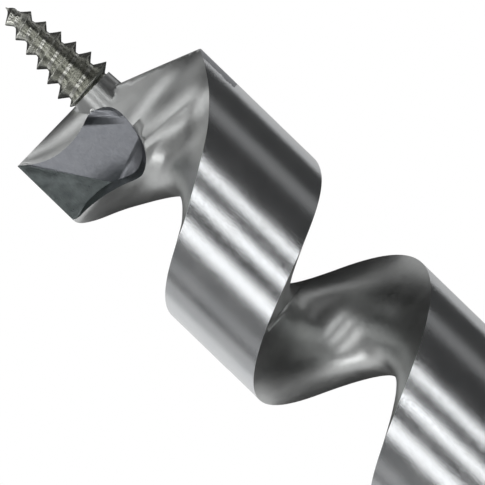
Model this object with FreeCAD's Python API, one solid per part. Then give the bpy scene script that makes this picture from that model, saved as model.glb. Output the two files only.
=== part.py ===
import FreeCAD, Part
import math
import os

# Single-twist wood auger bit, in millimetres.
# The origin is the centre of the shank's end face. +X runs along the axis to the tip of the lead
# screw and +Z is the side that the cutting lip's rake faces. Angles are measured about +X, from +Y
# towards +Z. "Behind" is a distance from the plane of the cutting lip back towards the shank.

# Lengths along the axis, from the shank's end
HEX_LENGTH = 38.0
ROUND_LENGTH = 20.0
NECK_LENGTH = 8.0
TWIST_LENGTH = 121.0
HEAD_LENGTH = 34.0
SCREW_LENGTH = 14.0

# Shank
HEX_FLATS = 11.11
SHANK_D = 12.5
NECK_D = 16.0
END_CHAMFER = 1.0

# Twist
BIT_D = 25.0
PITCH = 33.4
LAND_ANGLE = 155.0
LEAD_START = 8.7
WEB_RISE = 2.1
WEB_SHOULDERS = 1.5
RUNOUT_LENGTH = 24.0
LAND_RUNOUT_SHARE = 0.7

# Cutting head: the edges of the land, as (behind, angle) points up to where the steady helix begins
HELIX_START = 18.5
LEAD_EDGE = ((0.0, 179.0), (4.0, 174.5), (6.0, 167.5), (8.2, 151.0), (9.8, 141.0), (11.6, 129.0), (13.4, 116.5))
HEEL_START = 9.0
TRAIL_EDGE = ((0.0, 360.0), (HEEL_START, 360.0), (10.7, 335.0), (12.2, 312.0))
TRAIL_WIDENING = 14.0
TRAIL_JOINS = (14.0, 16.0, HELIX_START)
WIDENING_ENDS = (26.0, 35.0)
HEAD_RISE = 2.8
HEAD_SHOULDERS = 0.6
LIP_ROLL = 1.5
HEAD_BLEND = (8.0, 22.0)
LIP_CLEARANCE = 13.5
HEEL_SETBACK = 0.8
HEEL_TILT_SIDE = 22.5
HEEL_TILT_BACK = 2.0
BOSS_TOP_D = 6.0
BOSS_BASE_D = 6.6
BOSS_LENGTH = 6.0

# Ground pocket in front of the lip and the side spur
VALLEY_START = (1.6, 1.4)
VALLEY_END = (10.4, 7.1)
VALLEY_DEPTH = 1.2
RAKE_POINT = (2.8, 6.2)
RAKE_HEIGHT = 0.8
POCKET_WALL_LEAN = 0.25
POCKET_RIM_HEIGHT = 3.0
POCKET_OVERHANG = -2.0
POCKET_RIM = (
    (0.6, 0.0),
    (1.6, 1.2),
    (2.5, 3.2),
    (2.8, 6.2),
    (2.4, 8.8),
    (2.0, 10.6),
    (2.9, 12.5),
    (6.1, 12.9),
    (10.4, 11.1),
    (11.3, 9.4),
    (10.6, 7.1),
    (9.7, 3.5),
    (10.0, 1.0),
)

# Lead screw
SCREW_PITCH = 2.1
SCREW_CREST_D = 7.7
SCREW_ROOT_D = 5.2
SCREW_TIP_CREST_D = 2.6
SCREW_TIP_ROOT_D = 1.2
SCREW_POINT_D = 0.12
SCREW_POINT_LENGTH = 1.6
SCREW_FLANK = 0.82
SCREW_FADE = 0.5

# How finely the twisted surfaces are set out
HELIX_STEP = 1.2
HEAD_STEP = 0.6
SCREW_STEP_ANGLE = 20.0
FLANK_PARTS = 4
ROOT_PARTS = 10
ACROSS = 12

BIT_R = BIT_D / 2
ROUND_X = HEX_LENGTH
NECK_X = ROUND_X + ROUND_LENGTH
TWIST_X = NECK_X + NECK_LENGTH
HEAD_X = TWIST_X + TWIST_LENGTH
LIP_X = HEAD_X + HEAD_LENGTH
TIP_X = LIP_X + SCREW_LENGTH
AXIS = FreeCAD.Vector(1, 0, 0)


def at(behind, radius, angle):
    """Point at a distance behind the lip plane, a radius and an angle in degrees."""
    turn = math.radians(angle)
    return FreeCAD.Vector(LIP_X - behind, radius * math.cos(turn), radius * math.sin(turn))


def mix(a, b, share):
    return a + (b - a) * share


def eased(share):
    share = min(max(share, 0.0), 1.0)
    return share * share * (3 - 2 * share)


def through(points, place):
    """Value at a place on the smooth curve through (place, value) points."""
    if place <= points[0][0]:
        return points[0][1]
    last = len(points) - 1
    i = max(k for k in range(last) if points[k][0] <= place)

    def slope(k):
        before, after = points[max(k - 1, 0)], points[min(k + 1, last)]
        return (after[1] - before[1]) / (after[0] - before[0])

    (x0, y0), (x1, y1) = points[i], points[i + 1]
    width = x1 - x0
    s = (place - x0) / width
    ends = y0 * (1 + 2 * s) * (1 - s) ** 2 + y1 * s * s * (3 - 2 * s)
    return ends + width * s * (1 - s) * (slope(i) * (1 - s) - slope(i + 1) * s)


def fitted(points, places):
    curve = Part.BSplineCurve()
    curve.interpolate(Points=points, Parameters=places)
    return curve


def skin(rows, places):
    """Smooth surface through rows of points, one row for each place along the axis."""
    across_places = [float(k) for k in range(len(rows[0]))]
    along = [fitted(list(line), places) for line in zip(*rows)]
    across = [fitted(list(line), across_places) for line in zip(*[c.getPoles() for c in along])]
    surface = Part.BSplineSurface()
    surface.buildFromPolesMultsKnots(
        [c.getPoles() for c in across],
        along[0].getMultiplicities(),
        across[0].getMultiplicities(),
        along[0].getKnots(),
        across[0].getKnots(),
        False,
        False,
        along[0].Degree,
        across[0].Degree,
    )
    return surface


def twisted(sections, places):
    """Solid through sections. A section is a ring of sides and a side is a row of points."""
    surfaces = [skin([list(s[k]) for s in sections], places) for k in range(len(sections[0]))]
    faces = [surface.toShape() for surface in surfaces]
    for place in (places[0], places[-1]):
        rim = [surface.uIso(place).toShape() for surface in surfaces]
        faces.append(Part.Face(Part.Wire(rim)))
    shell = Part.makeShell(faces)
    shell.sewShape()
    solid = Part.makeSolid(shell)
    if solid.Volume < 0:
        solid.reverse()
    return solid


def steps(first, last, size):
    count = max(2, math.ceil((last - first) / size))
    return [first + (last - first) * k / count for k in range(count + 1)]


# ---------------------------------------------------------------- twist and head


def helix_angle(behind):
    """Angle of the land's leading edge on the steady helix."""
    return 180.0 - 360.0 * (behind - LEAD_START) / PITCH


def lead_angle(behind):
    if behind >= HELIX_START:
        return helix_angle(behind)
    joins = tuple((b, helix_angle(b)) for b in (HELIX_START, HELIX_START + HEAD_STEP))
    return through(LEAD_EDGE + joins, behind)


def trail_angle(behind):
    helix = helix_angle(behind) + LAND_ANGLE
    start, end = WIDENING_ENDS
    widened = helix + TRAIL_WIDENING * (1 - eased((behind - start) / (end - start)))
    if behind >= HELIX_START:
        return widened
    joins = tuple(
        (b, helix_angle(b) + LAND_ANGLE + TRAIL_WIDENING) for b in TRAIL_JOINS
    )
    return through(TRAIL_EDGE + joins, behind)


def land_radius(behind):
    end = HEAD_LENGTH + TWIST_LENGTH
    return mix(BIT_R, NECK_D / 2, eased(1 - (end - behind) / (LAND_RUNOUT_SHARE * RUNOUT_LENGTH)))


def section(behind):
    """The land's arc and the flute's face, which closes it, at a distance behind the lip."""
    lead, trail, radius = lead_angle(behind), trail_angle(behind), land_radius(behind)
    arc = [at(behind, radius, mix(lead, trail, k / ACROSS)) for k in range(ACROSS + 1)]
    end = HEAD_LENGTH + TWIST_LENGTH
    filled = eased(1 - (end - behind) / RUNOUT_LENGTH)
    outward = at(behind, -1.0, (lead + trail) / 2) - at(behind, 0.0, 0.0)
    blend = eased((behind - HEAD_BLEND[0]) / (HEAD_BLEND[1] - HEAD_BLEND[0]))
    rise = mix(HEAD_RISE * (1 - math.exp(-behind / LIP_ROLL)), WEB_RISE, blend)
    shoulders = mix(HEAD_SHOULDERS, WEB_SHOULDERS, blend)
    face = []
    for k in range(ACROSS + 1):
        share = k / ACROSS
        off_centre = (2 * share - 1) ** 2
        height = rise * (1 - off_centre) * (1 + shoulders * off_centre)
        open_point = mix(arc[-1], arc[0], share) + outward * height
        full_point = at(behind, radius, mix(trail, lead + 360.0, share))
        face.append(mix(open_point, full_point, filled))
    return arc, face


def make_twist():
    places = steps(HEAD_LENGTH, HEAD_LENGTH + TWIST_LENGTH, HELIX_STEP)
    return twisted([section(b) for b in places], places)


def half_space(point, normal):
    """Large block whose one face passes through a point and lies on the normal's side."""
    size = 6 * BIT_D
    block = Part.makeBox(size, size, size, FreeCAD.Vector(-size / 2, -size / 2, 0))
    block.Placement = FreeCAD.Placement(point, FreeCAD.Rotation(FreeCAD.Vector(0, 0, 1), normal))
    return block


def make_head():
    places = steps(0.0, HEAD_LENGTH, HEAD_STEP)
    head = twisted([section(b) for b in places], places)
    clearance = math.radians(LIP_CLEARANCE)
    lip = FreeCAD.Vector(math.cos(clearance), 0, -math.sin(clearance))
    head = head.cut(half_space(at(0.0, 0.0, 0.0), lip))
    side, back = math.radians(HEEL_TILT_SIDE), math.radians(HEEL_TILT_BACK)
    heel = FreeCAD.Vector(1, -math.tan(side), -math.tan(back))
    head = head.cut(half_space(at(HEEL_SETBACK, 0.0, 0.0), heel))
    boss = Part.makeCone(
        BOSS_BASE_D / 2, BOSS_TOP_D / 2, BOSS_LENGTH, at(BOSS_LENGTH, 0.0, 0.0), AXIS
    )
    head = head.fuse(boss)
    return head.cut(make_pocket())


def from_edge(behind, inset, height=0.0):
    """Point at a distance behind the lip and a distance in from the wing's outer edge."""
    return FreeCAD.Vector(LIP_X - behind, BIT_R - inset, height)


def plane_normal(a, b, c):
    normal = (b - a).cross(c - a)
    normal.normalize()
    return normal if normal.z > 0 else -normal


def make_pocket():
    """What the grinding takes: over the rake floor, over the spur's bevel, inside the rim."""
    edge_start, edge_end = from_edge(0.0, 0.0), from_edge(HEEL_START, 0.0)
    valley_end = from_edge(*VALLEY_END, -VALLEY_DEPTH)
    start_depth = VALLEY_DEPTH * VALLEY_START[1] / VALLEY_END[1]
    valley_start = from_edge(*VALLEY_START, -start_depth)
    rake = from_edge(*RAKE_POINT, RAKE_HEIGHT)
    curved = [from_edge(b, i, POCKET_RIM_HEIGHT) for b, i in POCKET_RIM]
    outer = [from_edge(b, POCKET_OVERHANG, POCKET_RIM_HEIGHT) for b in (POCKET_RIM[-1][0], 0.0)]
    curve = Part.BSplineCurve()
    curve.interpolate(Points=curved)
    straight = Part.makePolygon(curved[-1:] + outer + curved[:1])
    outline = Part.Face(Part.Wire([curve.toShape()] + straight.Edges))
    down = FreeCAD.Vector(POCKET_WALL_LEAN, 0, -1) * BIT_D
    up = FreeCAD.Vector(0, 0, 1) * BIT_D
    tool = outline.extrude(down).fuse(outline.extrude(up)).removeSplitter()
    for plane in ((valley_start, valley_end, rake), (edge_start, edge_end, valley_end)):
        tool = tool.cut(half_space(plane[1], -plane_normal(*plane)))
    return tool


# ---------------------------------------------------------------- lead screw


def screw_section(behind):
    """Root and both flanks of the thread at a place ahead of the lip plane."""
    ahead = -behind
    share = ahead / SCREW_LENGTH
    root = mix(SCREW_ROOT_D, SCREW_TIP_ROOT_D, share) / 2
    crest = mix(SCREW_CREST_D, SCREW_TIP_CREST_D, share) / 2
    fade = eased(ahead / SCREW_FADE) * eased((SCREW_LENGTH - ahead) / SCREW_POINT_LENGTH)
    point = eased((SCREW_LENGTH - ahead) / SCREW_POINT_LENGTH)
    root = mix(SCREW_POINT_D / 2, root, point)
    crest = max(mix(root, crest, fade), root)
    start = 360.0 * ahead / SCREW_PITCH
    flank = 360.0 * SCREW_FLANK / SCREW_PITCH
    climb = [k / FLANK_PARTS for k in range(FLANK_PARTS + 1)]
    round_root = [k / ROOT_PARTS for k in range(ROOT_PARTS + 1)]
    rising = [at(behind, mix(root, crest, c), start - flank * (1 - c)) for c in climb]
    falling = [at(behind, mix(crest, root, c), start + flank * c) for c in climb]
    rest = [at(behind, root, mix(start + flank, start + 360 - flank, r)) for r in round_root]
    rest[-1] = rising[0]
    return rising, falling, rest


def make_screw():
    step = SCREW_PITCH * SCREW_STEP_ANGLE / 360.0
    places = steps(-SCREW_LENGTH, 0.0, step)
    return twisted([screw_section(b) for b in places], places)


# ---------------------------------------------------------------- shank


def make_neck():
    top, base = NECK_D / 2, SHANK_D / 2
    line = Part.BSplineCurve()
    points = [(NECK_X, base), (NECK_X + 0.45 * NECK_LENGTH, mix(base, top, 0.3)), (TWIST_X, top)]
    line.interpolate(
        Points=[FreeCAD.Vector(x, 0, r) for x, r in points],
        InitialTangent=AXIS,
        FinalTangent=AXIS,
    )
    foot, head = FreeCAD.Vector(NECK_X, 0, 0), FreeCAD.Vector(TWIST_X, 0, 0)
    sides = [
        line.toShape(),
        Part.makeLine(FreeCAD.Vector(TWIST_X, 0, top), head),
        Part.makeLine(head, foot),
        Part.makeLine(foot, FreeCAD.Vector(NECK_X, 0, base)),
    ]
    return Part.Face(Part.Wire(sides)).revolve(FreeCAD.Vector(), AXIS, 360)


def make_round_shank():
    return Part.makeCylinder(SHANK_D / 2, ROUND_LENGTH, FreeCAD.Vector(ROUND_X, 0, 0), AXIS)


def make_hex():
    corner = HEX_FLATS / math.sqrt(3)
    ring = []
    for k in range(7):
        turn = math.radians(60 * k)
        ring.append(FreeCAD.Vector(0, corner * math.cos(turn), corner * math.sin(turn)))
    prism = Part.Face(Part.makePolygon(ring)).extrude(AXIS * HEX_LENGTH)
    end = corner - END_CHAMFER
    chamfer = Part.makeCone(end, end + HEX_LENGTH, HEX_LENGTH, FreeCAD.Vector(), AXIS)
    return prism.common(chamfer)


PIECES = {
    "hex_drive": make_hex,
    "round_shank": make_round_shank,
    "neck": make_neck,
    "twist": make_twist,
    "cutting_head": make_head,
    "lead_screw": make_screw,
}

os.makedirs("parts", exist_ok=True)
for name, make in PIECES.items():
    shape = make()
    shape.exportStep(f"parts/{name}.step")
    box = shape.BoundBox
    print(
        f"{name}: valid {shape.isValid()}, solids {len(shape.Solids)}, volume {shape.Volume:.1f},"
        f" x {box.XMin:.2f}..{box.XMax:.2f}, y {box.YMin:.2f}..{box.YMax:.2f},"
        f" z {box.ZMin:.2f}..{box.ZMax:.2f}"
    )
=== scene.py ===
import math

import bmesh
import bpy
from mathutils import Matrix, Vector


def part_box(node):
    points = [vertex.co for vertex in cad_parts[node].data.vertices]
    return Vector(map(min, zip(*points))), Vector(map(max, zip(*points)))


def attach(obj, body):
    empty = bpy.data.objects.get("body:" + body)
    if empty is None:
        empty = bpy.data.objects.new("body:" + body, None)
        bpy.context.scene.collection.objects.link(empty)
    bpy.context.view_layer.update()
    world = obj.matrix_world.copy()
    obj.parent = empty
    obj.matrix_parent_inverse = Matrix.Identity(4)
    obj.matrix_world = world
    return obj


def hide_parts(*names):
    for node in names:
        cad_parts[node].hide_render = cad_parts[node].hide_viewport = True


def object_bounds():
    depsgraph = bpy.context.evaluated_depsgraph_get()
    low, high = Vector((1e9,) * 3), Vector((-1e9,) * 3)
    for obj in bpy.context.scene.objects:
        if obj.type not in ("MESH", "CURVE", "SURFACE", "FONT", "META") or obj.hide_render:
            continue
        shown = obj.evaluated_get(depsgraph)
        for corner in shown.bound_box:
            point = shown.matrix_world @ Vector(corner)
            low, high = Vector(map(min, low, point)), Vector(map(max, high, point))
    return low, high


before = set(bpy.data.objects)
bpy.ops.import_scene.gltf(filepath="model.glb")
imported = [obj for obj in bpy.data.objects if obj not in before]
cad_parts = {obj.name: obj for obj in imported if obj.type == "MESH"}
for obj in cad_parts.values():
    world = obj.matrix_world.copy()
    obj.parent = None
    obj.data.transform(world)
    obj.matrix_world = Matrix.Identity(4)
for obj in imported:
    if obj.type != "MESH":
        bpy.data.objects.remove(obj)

# A single-twist wood auger bit lies along +X with its lead screw's tip at the far end, metres.
# Angles round the bit are measured from straight up towards -Y.

CAD_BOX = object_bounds()
LENGTH = CAD_BOX[1][0]
RADIUS = CAD_BOX[1][2]
FLOOR_Z = CAD_BOX[0][2]
LIP_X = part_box("lead_screw")[0].x

# The ground pocket behind the lip, and how its faces are told apart by their normals
POCKET_LENGTH = 0.012
POCKET_REACH = 0.004
POCKET_START = 0.0035
SAME_PLANE = 0.02
LOOKS_UP = 0.4
WALL_BACK = -0.2
WALL_ACROSS = 0.75

# A face whose corners all lie beyond this share of the radius is on the land
LAND_SHARE = 0.997

# Which material slot of the head or the twist holds which finish; the spur and rake slots also carry
# painted shade
LAND_SLOT, FLUTE_SLOT, FIRST_GROUND_SLOT = 0, 1, 2
SPUR_SHADE_SLOT, RAKE_AND_SHADE_SLOT = FIRST_GROUND_SLOT, FIRST_GROUND_SLOT + 1

# The stage: the floor lies under the table flag, and the light cards lie over both
TENT_RADIUS = 1.0
FLOOR_DROP = 0.0002
TABLE_FLAG_DROP = 0.0001
CARD_LIFT = 0.0003

BUMP_DEPTH = 0.00002
STREAK_SHARE = 0.6

# How fine each finish's streaks are along X, Y and Z, per metre
POLISHED = (2200, 9000, 9000)
FORGED = (2500, 2500, 2500)
RAKE = (2600, 4200, 4000)
SPUR = (1200, 7000, 4000)
THREAD = (7000, 3000, 3000)
TURNED = (9000, 1500, 1500)


# ---------------------------------------------------------------- shader helpers


def link(tree, source, target):
    tree.links.new(source, target)


def new_material(name, colour, roughness):
    material = bpy.data.materials.new(name)
    material.use_nodes = True
    shader = material.node_tree.nodes["Principled BSDF"]
    shader.inputs["Metallic"].default_value = 1.0
    shader.inputs["Base Color"].default_value = (*colour, 1.0)
    shader.inputs["Roughness"].default_value = roughness
    return material, material.node_tree, shader


def make_grain_group():
    """Fine polishing grain: streaks along one direction, with a broad mottle under them."""
    group = bpy.data.node_groups.new("polishing_grain", "ShaderNodeTree")
    for name, kind, value in (
        ("Across", "NodeSocketVector", (700.0, 9000.0, 9000.0)),
        ("Mottle Scale", "NodeSocketFloat", 160.0),
        ("Low", "NodeSocketFloat", 0.2),
        ("High", "NodeSocketFloat", 0.3),
    ):
        socket = group.interface.new_socket(name=name, in_out="INPUT", socket_type=kind)
        socket.default_value = value
    group.interface.new_socket(name="Roughness", in_out="OUTPUT", socket_type="NodeSocketFloat")
    group.interface.new_socket(name="Height", in_out="OUTPUT", socket_type="NodeSocketFloat")
    group.interface.new_socket(name="Mottle", in_out="OUTPUT", socket_type="NodeSocketFloat")
    nodes = group.nodes
    inputs, outputs = nodes.new("NodeGroupInput"), nodes.new("NodeGroupOutput")
    place = nodes.new("ShaderNodeTexCoord")
    stretch = nodes.new("ShaderNodeVectorMath")
    stretch.operation = "MULTIPLY"
    link(group, place.outputs["Object"], stretch.inputs[0])
    link(group, inputs.outputs["Across"], stretch.inputs[1])
    streaks = nodes.new("ShaderNodeTexNoise")
    streaks.inputs["Scale"].default_value = 1.0
    streaks.inputs["Detail"].default_value = 4.0
    link(group, stretch.outputs[0], streaks.inputs["Vector"])
    mottle = nodes.new("ShaderNodeTexNoise")
    mottle.inputs["Detail"].default_value = 3.0
    link(group, place.outputs["Object"], mottle.inputs["Vector"])
    link(group, inputs.outputs["Mottle Scale"], mottle.inputs["Scale"])
    both = nodes.new("ShaderNodeMath")
    both.operation = "MULTIPLY_ADD"
    both.inputs[1].default_value = STREAK_SHARE
    link(group, streaks.outputs["Fac"], both.inputs[0])
    share = nodes.new("ShaderNodeMath")
    share.operation = "MULTIPLY"
    share.inputs[1].default_value = 1 - STREAK_SHARE
    link(group, mottle.outputs["Fac"], share.inputs[0])
    link(group, share.outputs[0], both.inputs[2])
    spread = nodes.new("ShaderNodeMapRange")
    spread.inputs["From Min"].default_value = 0.3
    spread.inputs["From Max"].default_value = 0.7
    link(group, both.outputs[0], spread.inputs["Value"])
    link(group, inputs.outputs["Low"], spread.inputs["To Min"])
    link(group, inputs.outputs["High"], spread.inputs["To Max"])
    link(group, spread.outputs["Result"], outputs.inputs["Roughness"])
    link(group, streaks.outputs["Fac"], outputs.inputs["Height"])
    link(group, mottle.outputs["Fac"], outputs.inputs["Mottle"])
    return group


def add_grain(tree, shader, group, across, mottle, low, high, bump, dark, light):
    """Places the grain group in a material: roughness, a fine bump and a slight tone change."""
    grain = tree.nodes.new("ShaderNodeGroup")
    grain.node_tree = group
    grain.inputs["Across"].default_value = across
    grain.inputs["Mottle Scale"].default_value = mottle
    grain.inputs["Low"].default_value = low
    grain.inputs["High"].default_value = high
    link(tree, grain.outputs["Roughness"], shader.inputs["Roughness"])
    bumps = tree.nodes.new("ShaderNodeBump")
    bumps.inputs["Strength"].default_value = bump
    bumps.inputs["Distance"].default_value = BUMP_DEPTH
    link(tree, grain.outputs["Height"], bumps.inputs["Height"])
    link(tree, bumps.outputs["Normal"], shader.inputs["Normal"])
    tone = tree.nodes.new("ShaderNodeMix")
    tone.data_type = "RGBA"
    tone.inputs["A"].default_value = (*dark, 1.0)
    tone.inputs["B"].default_value = (*light, 1.0)
    link(tree, grain.outputs["Mottle"], tone.inputs["Factor"])
    link(tree, tone.outputs["Result"], shader.inputs["Base Color"])


def make_steels(group):
    steels = {}
    wanted = {
        "polished_steel": (POLISHED, 260, 0.13, 0.26, 0.55, (0.6, 0.62, 0.64), (0.74, 0.75, 0.76)),
        "flute_steel": (FORGED, 300, 0.28, 0.4, 0.05, (0.42, 0.43, 0.43), (0.64, 0.65, 0.64)),
        # Darker than steel: partly the coarser ground finish of the pocket floor, partly painted
        # shade there and on the pocket's steep wall.
        "rake_ground_steel_and_painted_shade": (RAKE, 700, 0.3, 0.48, 0.8, (0.2, 0.21, 0.23), (0.38, 0.39, 0.42)),
        # Nearly black base colour: painted shade on the pocket's steep wall and a painted dark
        # reflection on the spur's flat.
        "spur_painted_shade": (SPUR, 900, 0.24, 0.5, 1.0, (0.05, 0.06, 0.06), (0.24, 0.27, 0.27)),
        "screw_steel": (THREAD, 1300, 0.14, 0.34, 1.0, (0.12, 0.13, 0.1), (1.0, 1.0, 0.94)),
        "shank_steel": (TURNED, 120, 0.22, 0.34, 0.3, (0.56, 0.57, 0.58), (0.66, 0.67, 0.68)),
    }
    for name, (across, mottle, low, high, bump, dark, light) in wanted.items():
        material, tree, shader = new_material(name, light, high)
        add_grain(tree, shader, group, across, mottle, low, high, bump, dark, light)
        steels[name] = material
    return steels


# ---------------------------------------------------------------- pieces


def on_land(face, vertices):
    """Whether a face lies on the bit's outer cylinder."""
    radii = [math.hypot(vertices[v].co.y, vertices[v].co.z) for v in face.vertices]
    return min(radii) > LAND_SHARE * RADIUS


def from_node(node, name, material, smooth_angle=32.0):
    """A finished copy of a CAD node: one whole mesh with smooth faces and crisp edges."""
    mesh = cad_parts[node].data.copy()
    shape = bmesh.new()
    shape.from_mesh(mesh)
    bmesh.ops.remove_doubles(shape, verts=shape.verts, dist=1e-7)
    for face in shape.faces:
        face.smooth = True
    shape.to_mesh(mesh)
    shape.free()
    mesh.set_sharp_from_angle(angle=math.radians(smooth_angle))
    mesh.materials.clear()
    mesh.materials.append(material)
    piece = bpy.data.objects.new(name, mesh)
    bpy.context.collection.objects.link(piece)
    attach(piece, "root")
    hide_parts(node)
    return piece


def paint_flute(piece, finish):
    """The flute and the cut faces get a duller finish than the land, with a crisp edge between."""
    piece.data.materials.append(finish)
    vertices = piece.data.vertices
    for face in piece.data.polygons:
        face.material_index = LAND_SLOT if on_land(face, vertices) else FLUTE_SLOT
    shape = bmesh.new()
    shape.from_mesh(piece.data)
    for edge in shape.edges:
        sides = {face.material_index for face in edge.link_faces}
        if len(sides) > 1:
            edge.smooth = False
    shape.to_mesh(piece.data)
    shape.free()


def ground_planes(head):
    """The normals of the spur's bevel and the lip's rake: the two largest flats that look up."""
    areas = {}
    for face in head.data.polygons:
        if face.normal.z > LOOKS_UP and in_pocket(face):
            key = tuple(round(c, 2) for c in face.normal)
            areas[key] = areas.get(key, 0.0) + face.area
    found = [Vector(key) for key in sorted(areas, key=areas.get)[-2:]]
    return sorted(found, key=lambda normal: normal.y)


def in_pocket(face):
    return LIP_X - POCKET_LENGTH < face.center.x < LIP_X and abs(face.center.z) < POCKET_REACH


def inside_rim(face):
    """Whether a face of the pocket is its steep wall, and not one that looks away from the lip."""
    steep = abs(face.normal.z) < LOOKS_UP
    behind_lip = face.center.x < LIP_X - POCKET_START
    return steep and behind_lip and face.normal.x > WALL_BACK


def paint_ground_and_shaded_faces(head, finishes_and_shade):
    """Each flat of the pocket gets the coarser finish that its grinding leaves, darkened with
    painted shade, and the pocket's steep wall gets painted shade.
    """
    planes = ground_planes(head)
    for finish in finishes_and_shade:
        head.data.materials.append(finish)
    for face in head.data.polygons:
        # The pocket's steep wall gets the dark finishes: painted shade, not a finish of its own.
        if in_pocket(face) and inside_rim(face):
            face.material_index = SPUR_SHADE_SLOT if face.normal.x > WALL_ACROSS else RAKE_AND_SHADE_SLOT
    for face in head.data.polygons:
        for number, plane in enumerate(planes):
            if in_pocket(face) and (face.normal - plane).length < SAME_PLANE:
                face.material_index = FIRST_GROUND_SLOT + number


# ---------------------------------------------------------------- studio


def strip_lamp(name, angle, width, glow, distance=0.5, length=1.2):
    """Long soft box along the bit, at an angle from straight up, as wide as an angle in degrees."""
    lamp = bpy.data.lights.new(name, "AREA")
    lamp.shape = "RECTANGLE"
    lamp.size = length
    lamp.size_y = 2 * distance * math.tan(math.radians(width / 2))
    lamp.energy = glow * math.pi * lamp.size * lamp.size_y
    holder = bpy.data.objects.new(name, lamp)
    bpy.context.collection.objects.link(holder)
    turn = math.radians(angle)
    centre = Vector((LIP_X, 0, 0))
    holder.location = centre + Vector((0, -math.sin(turn), math.cos(turn))) * distance
    holder.rotation_euler = (turn, 0, 0)
    holder.visible_camera = False
    return holder


def background_rays(tree):
    """One for the rays that see the white background: camera, mirrored and transmitted."""
    seen = tree.nodes.new("ShaderNodeLightPath")
    total = seen.outputs["Is Camera Ray"]
    for kind in ("Is Glossy Ray", "Is Transmission Ray"):
        both = tree.nodes.new("ShaderNodeMath")
        both.operation = "MAXIMUM"
        link(tree, total, both.inputs[0])
        link(tree, seen.outputs[kind], both.inputs[1])
        total = both.outputs[0]
    return total


def black_flag(name, shape, colour, glow):
    """Dark cloth that only mirrored rays see, so that the polished steel keeps its dark bands."""
    mesh = bpy.data.meshes.new(name)
    shape.to_mesh(mesh)
    shape.free()
    cloth = bpy.data.objects.new(name, mesh)
    bpy.context.collection.objects.link(cloth)
    material = bpy.data.materials.new(name + "_cloth")
    material.use_nodes = True
    shader = material.node_tree.nodes["Principled BSDF"]
    shader.inputs["Base Color"].default_value = (*colour, 1.0)
    shader.inputs["Roughness"].default_value = 0.9
    shader.inputs["Emission Color"].default_value = (1.0, 1.0, 1.0, 1.0)
    shader.inputs["Emission Strength"].default_value = glow
    mesh.materials.append(material)
    cloth.visible_camera = False
    cloth.visible_diffuse = False
    cloth.visible_transmission = False
    cloth.visible_shadow = False


def make_flags():
    tent = bmesh.new()
    bmesh.ops.create_icosphere(tent, subdivisions=3, radius=TENT_RADIUS)
    bmesh.ops.translate(tent, verts=tent.verts, vec=(LENGTH / 2, 0, 0))
    black_flag("tent_flag", tent, (0.0, 0.0, 0.0), 0.05)
    sheet = bmesh.new()
    bmesh.ops.create_grid(sheet, x_segments=1, y_segments=1, size=TENT_RADIUS)
    bmesh.ops.translate(sheet, verts=sheet.verts, vec=(LENGTH / 2, 0, FLOOR_Z - TABLE_FLAG_DROP))
    black_flag("table_flag", sheet, (0.09, 0.09, 0.09), 0.0)


def make_floor():
    shape = bmesh.new()
    bmesh.ops.create_grid(shape, x_segments=1, y_segments=1, size=6.0)
    bmesh.ops.translate(shape, verts=shape.verts, vec=(LENGTH / 2, 0, FLOOR_Z - FLOOR_DROP))
    mesh = bpy.data.meshes.new("floor")
    shape.to_mesh(mesh)
    shape.free()
    floor = bpy.data.objects.new("floor", mesh)
    bpy.context.collection.objects.link(floor)
    material = bpy.data.materials.new("pale_floor")
    material.use_nodes = True
    tree = material.node_tree
    shader = tree.nodes["Principled BSDF"]
    shader.inputs["Base Color"].default_value = (0.09, 0.09, 0.09, 1.0)
    shader.inputs["Roughness"].default_value = 0.9
    white = tree.nodes.new("ShaderNodeEmission")
    blend = tree.nodes.new("ShaderNodeMixShader")
    link(tree, background_rays(tree), blend.inputs["Fac"])
    link(tree, shader.outputs[0], blend.inputs[1])
    link(tree, white.outputs[0], blend.inputs[2])
    link(tree, blend.outputs[0], tree.nodes["Material Output"].inputs["Surface"])
    mesh.materials.append(material)


def make_world(tone):
    world = bpy.data.worlds.new("studio")
    bpy.context.scene.world = world
    world.use_nodes = True
    tree = world.node_tree
    room = tree.nodes["Background"]
    room.inputs["Color"].default_value = (tone, tone, tone * 1.05, 1.0)
    white = tree.nodes.new("ShaderNodeBackground")
    white.inputs["Color"].default_value = (1, 1, 1, 1)
    blend = tree.nodes.new("ShaderNodeMixShader")
    link(tree, background_rays(tree), blend.inputs["Fac"])
    link(tree, room.outputs[0], blend.inputs[1])
    link(tree, white.outputs[0], blend.inputs[2])
    link(tree, blend.outputs[0], tree.nodes["World Output"].inputs["Surface"])


def floor_card(name, near, far, glow):
    """Light card lying beside the bit, from near to far along Y, which the bit's sides reflect."""
    lamp = bpy.data.lights.new(name, "AREA")
    lamp.shape = "RECTANGLE"
    lamp.size = 2 * LENGTH
    lamp.size_y = abs(far - near)
    lamp.energy = glow * math.pi * lamp.size * lamp.size_y
    holder = bpy.data.objects.new(name, lamp)
    bpy.context.collection.objects.link(holder)
    holder.location = (LENGTH / 2, (near + far) / 2, FLOOR_Z + CARD_LIFT)
    holder.rotation_euler = (math.pi, 0, 0)
    holder.visible_camera = False


def make_lamps():
    strip_lamp("key_strip", -37.0, 17.0, 1.6)
    strip_lamp("middle_strip", -4.0, 11.0, 1.9)
    strip_lamp("right_strip", 24.0, 9.0, 1.9)
    strip_lamp("low_fill", -84.0, 22.0, 0.3, distance=0.6)
    strip_lamp("mid_fill", -62.0, 22.0, 0.13)
    strip_lamp("right_fill", 84.0, 20.0, 0.2)
    floor_card("near_card", 1.1 * RADIUS, 3.0 * RADIUS, 0.75)
    floor_card("far_card", 3.0 * RADIUS, 10.0 * RADIUS, 0.45)
    floor_card("right_card", -1.1 * RADIUS, -2.3 * RADIUS, 0.5)
    end_lamp("tip_box", Vector((LIP_X + 0.45, 0, 0.11)), 0.25, 0.22, 1.3)
    end_lamp("low_box", Vector((LIP_X - 0.36, 0.42, 0.04)), 0.5, 0.12, 3.0)


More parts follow.
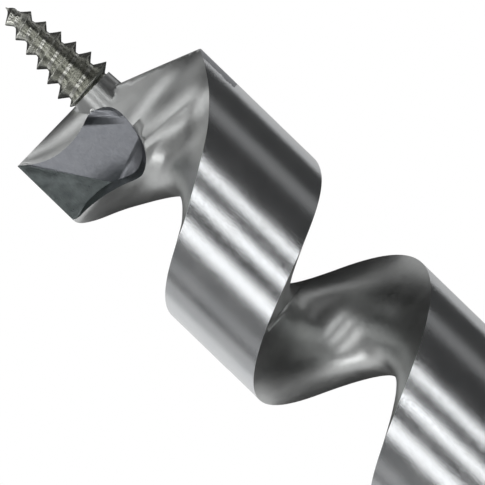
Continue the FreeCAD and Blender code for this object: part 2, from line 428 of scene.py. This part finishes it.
def end_lamp(name, place, width, height, glow):
    """Soft box beyond one end of the bit, which lights the faces that slope that way."""
    lamp = bpy.data.lights.new(name, "AREA")
    lamp.shape = "RECTANGLE"
    lamp.size = width
    lamp.size_y = height
    lamp.energy = glow * math.pi * lamp.size * lamp.size_y
    holder = bpy.data.objects.new(name, lamp)
    bpy.context.collection.objects.link(holder)
    holder.location = place
    aim = Vector((LIP_X, 0, 0)) - place
    holder.rotation_euler = aim.to_track_quat("-Z", "Y").to_euler()
    holder.visible_camera = False


def make_camera():
    """Looks straight down on the head from far off, turned so that the bit runs corner to corner."""
    tilt, roll = 0.020, math.radians(-45) + 0.017
    distance, frame_width = 0.637, 0.05723
    along = Vector((-math.cos(tilt), 0, math.sin(tilt)))
    side = Vector((0, -1, 0))
    back = Vector((math.sin(tilt), 0, math.cos(tilt)))
    aim = Vector((LIP_X - 0.02143, 0, 0)) + along * 0.0039 - side * 0.00052
    right = along * math.cos(roll) - side * math.sin(roll)
    up = along * math.sin(roll) + side * math.cos(roll)
    camera = bpy.data.cameras.new("camera")
    camera.sensor_width = 36.0
    camera.lens = camera.sensor_width * distance / frame_width
    camera.clip_start = 0.01
    camera.clip_end = 20.0
    holder = bpy.data.objects.new("camera", camera)
    bpy.context.collection.objects.link(holder)
    place = Matrix((right, up, back)).transposed().to_4x4()
    place.translation = aim + back * distance
    holder.matrix_world = place
    bpy.context.scene.camera = holder


# ---------------------------------------------------------------- scene

bpy.context.scene.view_settings.view_transform = "Standard"
STEELS = make_steels(make_grain_group())
from_node("hex_drive", "hex_shank", STEELS["shank_steel"])
from_node("round_shank", "turned_shank", STEELS["shank_steel"])
from_node("neck", "forged_neck", STEELS["shank_steel"])
TWIST = from_node("twist", "twist_body", STEELS["polished_steel"], 60.0)
HEAD = from_node("cutting_head", "lip_and_spur", STEELS["polished_steel"], 26.0)
for piece in (TWIST, HEAD):
    paint_flute(piece, STEELS["flute_steel"])
paint_ground_and_shaded_faces(HEAD, (STEELS["spur_painted_shade"], STEELS["rake_ground_steel_and_painted_shade"]))
from_node("lead_screw", "screw_point", STEELS["screw_steel"])
make_floor()
make_world(0.05)
make_flags()
make_lamps()
make_camera()
